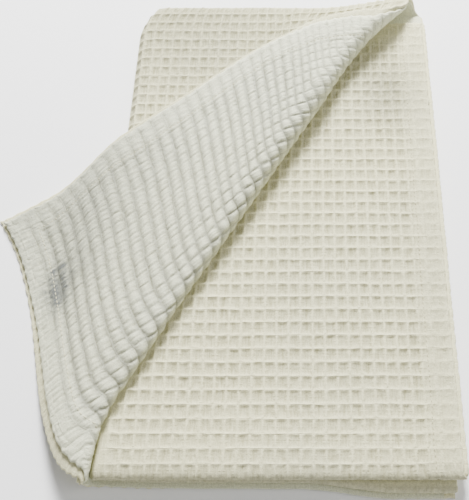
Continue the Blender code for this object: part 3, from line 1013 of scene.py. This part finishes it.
def edge_faces(weave, walk, sample, points, flats, depths):
    """Round edge that joins the face to the back, flat where the stretch is cut."""
    columns, rows = len(weave.up_lines) - 1, len(weave.over_lines) - 1
    rings = []
    for number_u, number_v in walk:
        flat, (u, v), low, _ = weave.surface("face", number_u, number_v)
        high = weave.surface("back", number_u, number_v)[2]
        way_u = (number_u == columns * FINE) - (number_u == 0)
        way_v = (number_v == rows * FINE) - (number_v == 0)
        length = max(math.hypot(way_u, way_v), 1.0)
        ring = [sample("face", number_u, number_v)]
        for level in range(1, RIM_LEVELS):
            angle = math.pi * level / RIM_LEVELS
            n = low + (high - low) * (0.5 - 0.5 * math.cos(angle))
            out = 0.5 * (high - low) * math.sin(angle) / length
            ring.append(len(points))
            points.append(folded(u + way_u * out, v + way_v * out, n))
            flats.append(flat)
            depths.append(0.0)
        rings.append(ring + [sample("back", number_u, number_v)])
    return [
        (ring[level], following[level], following[level + 1], ring[level + 1])
        for ring, following in zip(rings, rings[1:] + rings[:1])
        for level in range(RIM_LEVELS)
    ]


def finish_cloth(name, points, faces, flats, depths):
    """Make the mesh, with the flat cloth as its UV map, its cells' depth and its grey marks with
    painted shade.
    """
    mesh = bpy.data.meshes.new(name)
    mesh.from_pydata(points, [], faces)
    mesh.shade_smooth()
    corners = np.empty(len(mesh.loops), dtype=np.int32)
    mesh.loops.foreach_get("vertex_index", corners)
    flat_map = mesh.uv_layers.new(name="flat_cloth")
    flat_map.data.foreach_set("uv", np.array(flats, dtype=np.float32)[corners].ravel())
    soiled_and_shaded = [soil_and_shade(*flat) for flat in flats]
    for attribute, values in (("cell_depth", depths), ("soil_and_shade", soiled_and_shaded)):
        layer = mesh.attributes.new(attribute, "FLOAT", "POINT")
        layer.data.foreach_set("value", np.array(values, dtype=np.float32))
    mesh.validate()
    piece = bpy.data.objects.new(name, mesh)
    bpy.context.scene.collection.objects.link(piece)
    return piece


# ---------------------------------------------------------------- stitches

def seams(weave):
    """Samples along the hems that show: for each cloth, its lines of stitches."""
    columns, rows = len(weave.up_lines) - 1, len(weave.over_lines) - 1
    other_side = (columns - 1 - SEAM_CELL) * FINE + FINE // 2
    top = range(SEAM_SAMPLE, weave.cut_along * FINE)
    middle = range(weave.cut_along * FINE, (rows - 1) * FINE)
    near = range(weave.cut_across * FINE, other_side)
    return {
        "outer_cloth": [[(SEAM_SAMPLE, number) for number in top]],
        "turned_cloth": [
            [(other_side, number) for number in top],
            [(number, SEAM_SAMPLE) for number in near],
        ],
        "middle_cloth": [[(SEAM_SAMPLE, number) for number in middle]],
    }


def seam_course(weave, line):
    """Stretches of a line of stitches that show: places and the ways out of the cloth."""
    stretches = [[]]
    for number_u, number_v in line:
        flat, place, n, _ = weave.surface("face", number_u, number_v)
        if face_shares(weave.slide.place_across(*flat), flat[1])[0] < STITCH_SHOWN:
            stretches.append([])
            continue
        low, high = Vector(folded(*place, n)), Vector(folded(*place, n - STITCH_RADIUS))
        stretches[-1].append((low, (high - low).normalized()))
    return [course for course in stretches if len(course) > FINE]


def point_along(course, walked, distance):
    """Place on a seam's course at a distance along it, its way on and its way out."""
    step = next(number for number, end in enumerate(walked[1:]) if end >= distance)
    share = (distance - walked[step]) / (walked[step + 1] - walked[step])
    (start, out), (end, out_end) = course[step], course[step + 1]
    return start.lerp(end, share), (end - start).normalized(), out.lerp(out_end, share)


def stitch_mesh(weave, lines, length):
    """Points and faces of all the stitches along some seams, each a short rounded thread."""
    points, faces = [], []
    ends = tuple(range(STITCH_SIDES))
    last = (len(STITCH_RINGS) - 1) * STITCH_SIDES
    for course in (course for line in lines for course in seam_course(weave, line)):
        walked = [0.0]
        for (start, _), (end, _) in zip(course, course[1:]):
            walked.append(walked[-1] + (end - start).length)
        for stitch in range(int(walked[-1] / length)):
            first = len(points)
            for share, size, lift in STITCH_RINGS:
                distance = (stitch + (1 - STITCH_GAP) * share) * length
                middle, ahead, out = point_along(course, walked, distance)
                middle = middle + out * STITCH_RADIUS * lift
                beside = ahead.cross(out).normalized()
                for side in ends:
                    turn = 2 * math.pi * side / STITCH_SIDES
                    way = beside * math.cos(turn) + out * math.sin(turn)
                    points.append(middle + way * STITCH_RADIUS * size)
            faces.append([first + side for side in ends])
            faces.append([first + last + side for side in ends[::-1]])
            for start in range(first, first + last, STITCH_SIDES):
                for side, following in zip(ends, ends[1:] + ends[:1]):
                    faces.append((
                        start + side, start + STITCH_SIDES + side,
                        start + STITCH_SIDES + following, start + following,
                    ))
    return points, faces


# ---------------------------------------------------------------- materials

def math_node(tree, operation, first, second=None):
    """A Math node on sockets or numbers."""
    node = tree.nodes.new("ShaderNodeMath")
    node.operation = operation
    for socket, value in zip(node.inputs, (first, second)):
        if isinstance(value, (int, float)):
            socket.default_value = value
        elif value is not None:
            tree.links.new(value, socket)
    return node.outputs[0]


def mix_values(tree, factor, first, second):
    """A Mix node between two values."""
    node = tree.nodes.new("ShaderNodeMix")
    for socket, value in (("Factor", factor), ("A", first), ("B", second)):
        tree.links.new(value, node.inputs[socket])
    return node.outputs["Result"]


def mix_colours(tree, factor, first, second, blend="MIX"):
    """A Mix node between two colours, each a socket or a plain colour."""
    node = tree.nodes.new("ShaderNodeMix")
    node.data_type = "RGBA"
    node.blend_type = blend
    tree.links.new(factor, node.inputs["Factor"])
    for socket, colour in (("A", first), ("B", second)):
        target = next(item for item in node.inputs if item.type == "RGBA" and item.name == socket)
        if isinstance(colour, bpy.types.NodeSocket):
            tree.links.new(colour, target)
        else:
            target.default_value = (*colour, 1.0)
    return next(item for item in node.outputs if item.type == "RGBA")


def remap(tree, value, low, high):
    """A Map Range node from low..high to 0..1."""
    node = tree.nodes.new("ShaderNodeMapRange")
    node.inputs["From Min"].default_value = low
    node.inputs["From Max"].default_value = high
    tree.links.new(value, node.inputs["Value"])
    return node.outputs["Result"]


def object_noise(tree, scale, detail=2.0):
    """Noise on Object coordinates, with its swings a metre."""
    place = tree.nodes.new("ShaderNodeTexCoord")
    uneven = tree.nodes.new("ShaderNodeTexNoise")
    uneven.inputs["Scale"].default_value = scale
    uneven.inputs["Detail"].default_value = detail
    tree.links.new(place.outputs["Object"], uneven.inputs["Vector"])
    return uneven.outputs["Fac"]


def attribute(tree, name):
    """Value of a point attribute."""
    node = tree.nodes.new("ShaderNodeAttribute")
    node.attribute_name = name
    return node.outputs["Fac"]


def streaks(tree, flat, across, along):
    """Uneven threads that run one way of the flat cloth: swings a metre both ways."""
    stretched = tree.nodes.new("ShaderNodeMapping")
    stretched.inputs["Scale"].default_value = (across, along, 1.0)
    tree.links.new(flat, stretched.inputs["Vector"])
    uneven = tree.nodes.new("ShaderNodeTexNoise")
    uneven.inputs["Scale"].default_value = 1.0
    uneven.inputs["Detail"].default_value = STREAK_DETAIL
    tree.links.new(stretched.outputs["Vector"], uneven.inputs["Vector"])
    return remap(tree, uneven.outputs["Fac"], *STREAK_RANGE)


def cell_threads(tree, sizes):
    """Threads of the weave from the flat cloth, 0 between them and 1 on them.

    They run along each ridge, and down its walls and through the cell along the cloth.
    """
    node = tree.nodes.new("ShaderNodeUVMap")
    node.uv_map = "flat_cloth"
    flat = node.outputs["UV"]
    split = tree.nodes.new("ShaderNodeSeparateXYZ")
    tree.links.new(flat, split.inputs[0])
    ways, offs = [], []
    ply, run = 1 / sizes.thread, STREAK_RUN / sizes.thread
    rough = (streaks(tree, flat, ply, run), streaks(tree, flat, run, ply))
    cells = ((CLOTH_WIDTH, sizes.cell_across), (CLOTH_LENGTH, sizes.cell_along))
    for way, (length, cell) in enumerate(cells):
        lines = cell_lines(length, cell)
        place = math_node(tree, "SUBTRACT", split.outputs[way], HEM_EDGE)
        halves = math_node(tree, "DIVIDE", place, (lines[2] - lines[1]) / 2)
        offs.append(math_node(tree, "PINGPONG", halves, 1.0))
        turns = math_node(tree, "MULTIPLY", split.outputs[way], 4 * math.pi / sizes.thread)
        fine = remap(tree, math_node(tree, "SINE", turns), -1.0, 1.0)
        twist = math_node(tree, "MULTIPLY", fine, THREAD_TWIST)
        ways.append(math_node(tree, "ADD", twist, rough[way]))
    across, along = ways
    off_up, off_over = offs
    # 0 close to the ridges that run along the cloth, 1 elsewhere
    by_over = remap(tree, math_node(tree, "SUBTRACT", off_up, off_over), *BESIDE_RIDGE)
    nearest = math_node(tree, "MINIMUM", off_up, off_over)
    down = mix_values(tree, by_over, along, across)
    over = mix_values(tree, by_over, across, along)
    threads = mix_values(tree, remap(tree, nearest, *ON_WALL), over, down)
    crossing = math_node(tree, "MULTIPLY", across, remap(tree, along, *PIT_RANGE))
    return mix_values(tree, remap(tree, nearest, *IN_PIT), threads, crossing)


def new_material(name, roughness, specular):
    """A new material, its nodes and its shader."""
    material = bpy.data.materials.new(name)
    material.use_nodes = True
    shader = material.node_tree.nodes["Principled BSDF"]
    shader.inputs["Roughness"].default_value = roughness
    shader.inputs["Specular IOR Level"].default_value = specular
    return material, material.node_tree, shader


def waffle_cotton(name, ridge, shaded_hollow, colours, sizes):
    """Matte cream cotton: threads both ways, painted shade down in the cells and between threads,
    grey marks and painted shade.
    """
    material = bpy.data.materials.get(name)
    if material:
        return material
    material, tree, shader = new_material(name, COTTON_ROUGH, COTTON_SPECULAR)
    shader.inputs["Sheen Weight"].default_value = COTTON_SHEEN[0]
    shader.inputs["Sheen Roughness"].default_value = COTTON_SHEEN[1]
    depth = attribute(tree, "cell_depth")
    fibres = object_noise(tree, *FIBRE_NOISE)
    fluff = math_node(tree, "MULTIPLY", fibres, FLUFF)
    relief = math_node(tree, "ADD", cell_threads(tree, sizes), fluff)
    # Painted shade: gaps between threads are darker, more so further down in a cell; the grey marks
    # and painted shade count for more on a cell's ridges
    low = math_node(tree, "ADD", math_node(tree, "MULTIPLY", depth, GAP_SHADE[1]), GAP_SHADE[0])
    lost = math_node(tree, "MULTIPLY", low, SOIL_AND_SHADE_TONE[1])
    high = math_node(tree, "SUBTRACT", SOIL_AND_SHADE_TONE[0], lost)
    tones = (
        (remap(tree, object_noise(tree, *PATCH_NOISE), *PATCH_RANGE), colours.patch),
        (math_node(tree, "MULTIPLY", remap(tree, relief, *GAP_RANGE), low), colours.thread),
        (remap(tree, fibres, *SPECK_RANGE), colours.speck),
        (math_node(tree, "MULTIPLY", attribute(tree, "soil_and_shade"), high), colours.soil_and_shade),
    )
    # Painted shade: the colour goes darker towards the middle of each cell
    cotton = mix_colours(tree, depth, ridge, shaded_hollow)
    for factor, tone in tones:
        cotton = mix_colours(tree, factor, cotton, tone, "MULTIPLY")
    tree.links.new(cotton, shader.inputs["Base Color"])
    bump = tree.nodes.new("ShaderNodeBump")
    bump.inputs["Strength"].default_value = BUMP_SHARE
    bump.inputs["Distance"].default_value = THREAD_BUMP
    tree.links.new(relief, bump.inputs["Height"])
    tree.links.new(bump.outputs["Normal"], shader.inputs["Normal"])
    return material


def grained(name, low_tone, high_tone, scale, edges, roughness):
    """Matte material with a fine grain between two tones."""
    material, tree, shader = new_material(name, roughness, PLAIN_SPECULAR)
    grain = remap(tree, object_noise(tree, scale), *edges)
    tree.links.new(mix_colours(tree, grain, low_tone, high_tone), shader.inputs["Base Color"])
    return material


def sewing_thread(colour):
    """Cotton thread, twisted, so that it is darker between its plies."""
    share, *grain = STITCH_GRAIN
    return grained("sewing_thread", [share * part for part in colour], colour, *grain)


def pale_floor(colour):
    """Matte paper sweep with a faint grain."""
    share, *grain = FLOOR_GRAIN
    return grained("pale_floor", colour, [share * part for part in colour], *grain)


# ---------------------------------------------------------------- settings

class ClothSizes(bpy.types.PropertyGroup):
    """Sizes of the weave and of the sewing."""

    cell_across: bpy.props.FloatProperty(
        name="Cell width", description="From ridge to ridge across the cloth",
        default=0.0084, min=0.004, max=0.02, subtype="DISTANCE", unit="LENGTH", precision=4)
    cell_along: bpy.props.FloatProperty(
        name="Cell length", description="From ridge to ridge along the cloth",
        default=0.0096, min=0.004, max=0.02, subtype="DISTANCE", unit="LENGTH", precision=4)
    cell_depth: bpy.props.FloatProperty(
        name="Cell depth", description="From the ridges down to the middle of a cell",
        default=0.0016, min=0.0, max=0.003, subtype="DISTANCE", unit="LENGTH", precision=4)
    ridge_stand: bpy.props.FloatProperty(
        name="Ridge height", description="How far ridges stand over the cloth's mean face",
        default=0.0013, min=0.0, max=0.002, subtype="DISTANCE", unit="LENGTH", precision=4)
    hem_depth: bpy.props.FloatProperty(
        name="Cells in the hem", description="Depth of cells in the hem, as a share of the rest",
        default=0.40, min=0.0, max=1.0, subtype="FACTOR")
    wander: bpy.props.FloatProperty(
        name="Ridge wander", description="How far ridges stray from straight lines",
        default=0.0004, min=0.0, max=0.002, subtype="DISTANCE", unit="LENGTH", precision=4)
    thread: bpy.props.FloatProperty(
        name="Thread", description="Width of two threads of the weave",
        default=0.0015, min=0.0004, max=0.004, subtype="DISTANCE", unit="LENGTH", precision=4)
    stitch: bpy.props.FloatProperty(
        name="Stitch length", description="Length of one hem stitch with its gap",
        default=0.0036, min=0.002, max=0.01, subtype="DISTANCE", unit="LENGTH", precision=4)


class ClothColours(bpy.types.PropertyGroup):
    """Colours of the cotton and of the stage."""

    ridge: bpy.props.FloatVectorProperty(
        name="Ridges", description="Cotton on the ridges", subtype="COLOR", size=3,
        default=(0.83, 0.795, 0.50), min=0.0, max=1.0)
    # Painted shade: the cells' colour is darker than the ridges' to stand in for shade down in the
    # cells
    shaded_hollow: bpy.props.FloatVectorProperty(
        name="Cells", description="Cotton down in the cells", subtype="COLOR", size=3,
        default=(0.61, 0.585, 0.37), min=0.0, max=1.0)
    # Greyer and darker than the ridges: partly the other side's own tone, partly painted shade on
    # the turned-back corner
    swell_and_shade: bpy.props.FloatVectorProperty(
        name="Other side", description="Cotton of the turned-back corner", subtype="COLOR",
        size=3, default=(0.81, 0.82, 0.59), min=0.0, max=1.0)
    # Painted shade: darker colour down in the grooves of the turned-back corner
    groove: bpy.props.FloatVectorProperty(
        name="Grooves", description="Cotton in the grooves of the turned-back corner",
        subtype="COLOR", size=3, default=(0.43, 0.435, 0.33), min=0.0, max=1.0)
    patch: bpy.props.FloatVectorProperty(
        name="Unevenness", description="Slow change of tone over the cloth", subtype="COLOR",
        size=3, default=(0.97, 0.975, 1.0), min=0.0, max=1.0)
    # Painted shade between threads, deeper down in the cells
    thread: bpy.props.FloatVectorProperty(
        name="Between threads", description="Tone between two threads", subtype="COLOR",
        size=3, default=(0.66, 0.65, 0.58), min=0.0, max=1.0)
    speck: bpy.props.FloatVectorProperty(
        name="Specks", description="Tone of the darker fibres", subtype="COLOR",
        size=3, default=(0.84, 0.84, 0.83), min=0.0, max=1.0)
    # Painted shade as well as grey marks: this tone darkens both the marks and the shaded places
    # listed with them
    soil_and_shade: bpy.props.FloatVectorProperty(
        name="Soil", description="Tone of the grey marks", subtype="COLOR",
        size=3, default=(0.21, 0.22, 0.28), min=0.0, max=1.0)
    stitching: bpy.props.FloatVectorProperty(
        name="Stitches", description="Thread that the hems are sewn with", subtype="COLOR",
        size=3, default=(0.70, 0.66, 0.44), min=0.0, max=1.0)
    floor: bpy.props.FloatVectorProperty(
        name="Floor", description="Pale floor", subtype="COLOR", size=3,
        default=(0.96, 0.96, 0.96), min=0.0, max=1.0)


# ---------------------------------------------------------------- operators

_made = {}


def blanket_weave():
    """The weave and the flap's outline, worked out once for all pieces."""
    if "weave" not in _made:
        _made["weave"] = Weave(bpy.context.scene.blanket_sizes)
        _made["outline"] = flap_outline()
    return _made["weave"], _made["outline"]


def cloth_spans(weave):
    """Cell lines between which each cloth lies, across and along."""
    last_across, last_along = len(weave.up_lines) - 1, len(weave.over_lines) - 1
    outer, inner = (0, weave.cut_across), (weave.cut_across, last_across)
    top, below = (0, weave.cut_along), (weave.cut_along, last_along)
    return {
        "outer_cloth": (outer, top),
        "turned_cloth": (inner, top),
        "middle_cloth": (outer, below),
        "inner_cloth": (inner, below),
    }


def add_cloth(name, other_side=False):
    weave, outline = blanket_weave()
    across, along = cloth_spans(weave)[name]
    piece = woven_piece(name, weave, across, along, outline)
    colours, sizes = bpy.context.scene.blanket_colours, bpy.context.scene.blanket_sizes
    if other_side:
        # The turned-back corner's copy of the cotton is greyer and darker, partly as painted shade
        cotton = waffle_cotton("waffle_other_side", colours.swell_and_shade, colours.groove, colours, sizes)
    else:
        cotton = waffle_cotton("waffle_cotton", colours.ridge, colours.shaded_hollow, colours, sizes)
    piece.data.materials.append(cotton)
    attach(piece, BODY)
    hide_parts(NODE)


class BLANKET_OT_hem_stitches(bpy.types.Operator):
    """Add the stitches of the hems that show, one piece for each cloth."""

    bl_idname = "blanket.hem_stitches"
    bl_label = "Hem stitches"

    def execute(self, context):
        """Make the pieces."""
        weave, _ = blanket_weave()
        thread = sewing_thread(context.scene.blanket_colours.stitching)
        for cloth, lines in seams(weave).items():
            name = cloth + "_stitches"
            mesh = bpy.data.meshes.new(name)
            points, faces = stitch_mesh(weave, lines, context.scene.blanket_sizes.stitch)
            mesh.from_pydata(points, [], faces)
            mesh.shade_smooth()
            mesh.materials.append(thread)
            piece = bpy.data.objects.new(name, mesh)
            context.scene.collection.objects.link(piece)
            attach(piece, BODY)
            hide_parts(NODE)
        return {"FINISHED"}


class BLANKET_OT_outer_cloth(bpy.types.Operator):
    """Add the outer cloth: top, left and far folds, underside and the flap's lower layer."""

    bl_idname = "blanket.outer_cloth"
    bl_label = "Outer cloth"

    def execute(self, context):
        """Make the piece."""
        add_cloth("outer_cloth")
        return {"FINISHED"}


class BLANKET_OT_turned_cloth(bpy.types.Operator):
    """Add the cloth that shows on the turned-back corner."""

    bl_idname = "blanket.turned_cloth"
    bl_label = "Turned-back cloth"

    def execute(self, context):
        """Make the piece."""
        add_cloth("turned_cloth", other_side=True)
        return {"FINISHED"}


class BLANKET_OT_middle_cloth(bpy.types.Operator):
    """Add the cloth that the turned-back corner lays bare, with the near folds."""

    bl_idname = "blanket.middle_cloth"
    bl_label = "Middle cloth"

    def execute(self, context):
        """Make the piece."""
        add_cloth("middle_cloth")
        return {"FINISHED"}


class BLANKET_OT_inner_cloth(bpy.types.Operator):
    """Add the inner layers, which show at the edges of the stack."""

    bl_idname = "blanket.inner_cloth"
    bl_label = "Inner cloth"

    def execute(self, context):
        """Make the piece."""
        add_cloth("inner_cloth")
        return {"FINISHED"}


def add_area_light(name, place, size, power):
    """A square soft light aimed at the middle of the stack's underside."""
    light = bpy.data.lights.new(name, "AREA")
    light.shape = "SQUARE"
    light.size = size
    light.energy = power
    lamp = bpy.data.objects.new(name, light)
    lamp.location = place
    lamp.rotation_euler = (Vector((0, 0, 0)) - Vector(place)).to_track_quat("-Z", "Y").to_euler()
    bpy.context.scene.collection.objects.link(lamp)


class BLANKET_OT_stage(bpy.types.Operator):
    """Add the pale floor, soft light and camera."""

    bl_idname = "blanket.stage"
    bl_label = "Stage"

    def execute(self, context):
        """Make the stage."""
        bpy.ops.object.select_all(action="DESELECT")
        bpy.ops.mesh.primitive_plane_add(size=FLOOR_SIZE, location=(0.0, 0.0, -FLOOR_BELOW))
        floor = context.active_object
        floor.name = "floor"
        bpy.ops.object.transform_apply(location=True)
        floor.data.materials.append(pale_floor(context.scene.blanket_colours.floor))

        world = bpy.data.worlds.new("soft_room")
        world.use_nodes = True
        background = world.node_tree.nodes["Background"]
        background.inputs["Color"].default_value = (1.0, 1.0, 1.0, 1.0)
        background.inputs["Strength"].default_value = ROOM_LIGHT
        context.scene.world = world
        for name, (place, size, power) in LIGHTS.items():
            add_area_light(name, place, size, power)

        camera = bpy.data.cameras.new("photo_camera")
        camera.sensor_fit = "HORIZONTAL"
        camera.sensor_width = CAMERA_SENSOR
        camera.lens = CAMERA_LENS
        camera.clip_start = CAMERA_CLIP
        viewpoint = bpy.data.objects.new("photo_camera", camera)
        viewpoint.location = CAMERA_PLACE
        viewpoint.rotation_euler = (math.radians(90 - CAMERA_DOWN), 0.0, 0.0)
        context.scene.collection.objects.link(viewpoint)
        context.scene.camera = viewpoint
        return {"FINISHED"}


class BLANKET_PT_panel(bpy.types.Panel):
    """List the blanket's settings and pieces in the sidebar."""

    bl_idname = "BLANKET_PT_panel"
    bl_label = "Folded waffle blanket"
    bl_space_type = "VIEW_3D"
    bl_region_type = "UI"
    bl_category = "Blanket"

    def draw(self, context):
        """Draw the settings, then one button for each piece."""
        for group in (context.scene.blanket_sizes, context.scene.blanket_colours):
            box = self.layout.box()
            for name in group.__annotations__:
                box.prop(group, name)
        for operator in OPERATORS:
            self.layout.operator(operator.bl_idname)


OPERATORS = (
    BLANKET_OT_hem_stitches,
    BLANKET_OT_outer_cloth,
    BLANKET_OT_turned_cloth,
    BLANKET_OT_middle_cloth,
    BLANKET_OT_inner_cloth,
    BLANKET_OT_stage,
)
CLASSES = (ClothSizes, ClothColours, *OPERATORS, BLANKET_PT_panel)


def register():
    """Add the classes and the scene's settings."""
    for cls in CLASSES:
        bpy.utils.register_class(cls)
    bpy.types.Scene.blanket_sizes = bpy.props.PointerProperty(type=ClothSizes)
    bpy.types.Scene.blanket_colours = bpy.props.PointerProperty(type=ClothColours)


def unregister():
    """Take the settings and the classes away."""
    del bpy.types.Scene.blanket_colours
    del bpy.types.Scene.blanket_sizes
    for cls in reversed(CLASSES):
        bpy.utils.unregister_class(cls)


def main():
    """Make every piece and the stage."""
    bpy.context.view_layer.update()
    register()
    bpy.ops.blanket.stage()
    bpy.ops.blanket.hem_stitches()
    bpy.ops.blanket.outer_cloth()
    bpy.ops.blanket.turned_cloth()
    bpy.ops.blanket.middle_cloth()
    bpy.ops.blanket.inner_cloth()


if __name__ == "__main__":
    main()
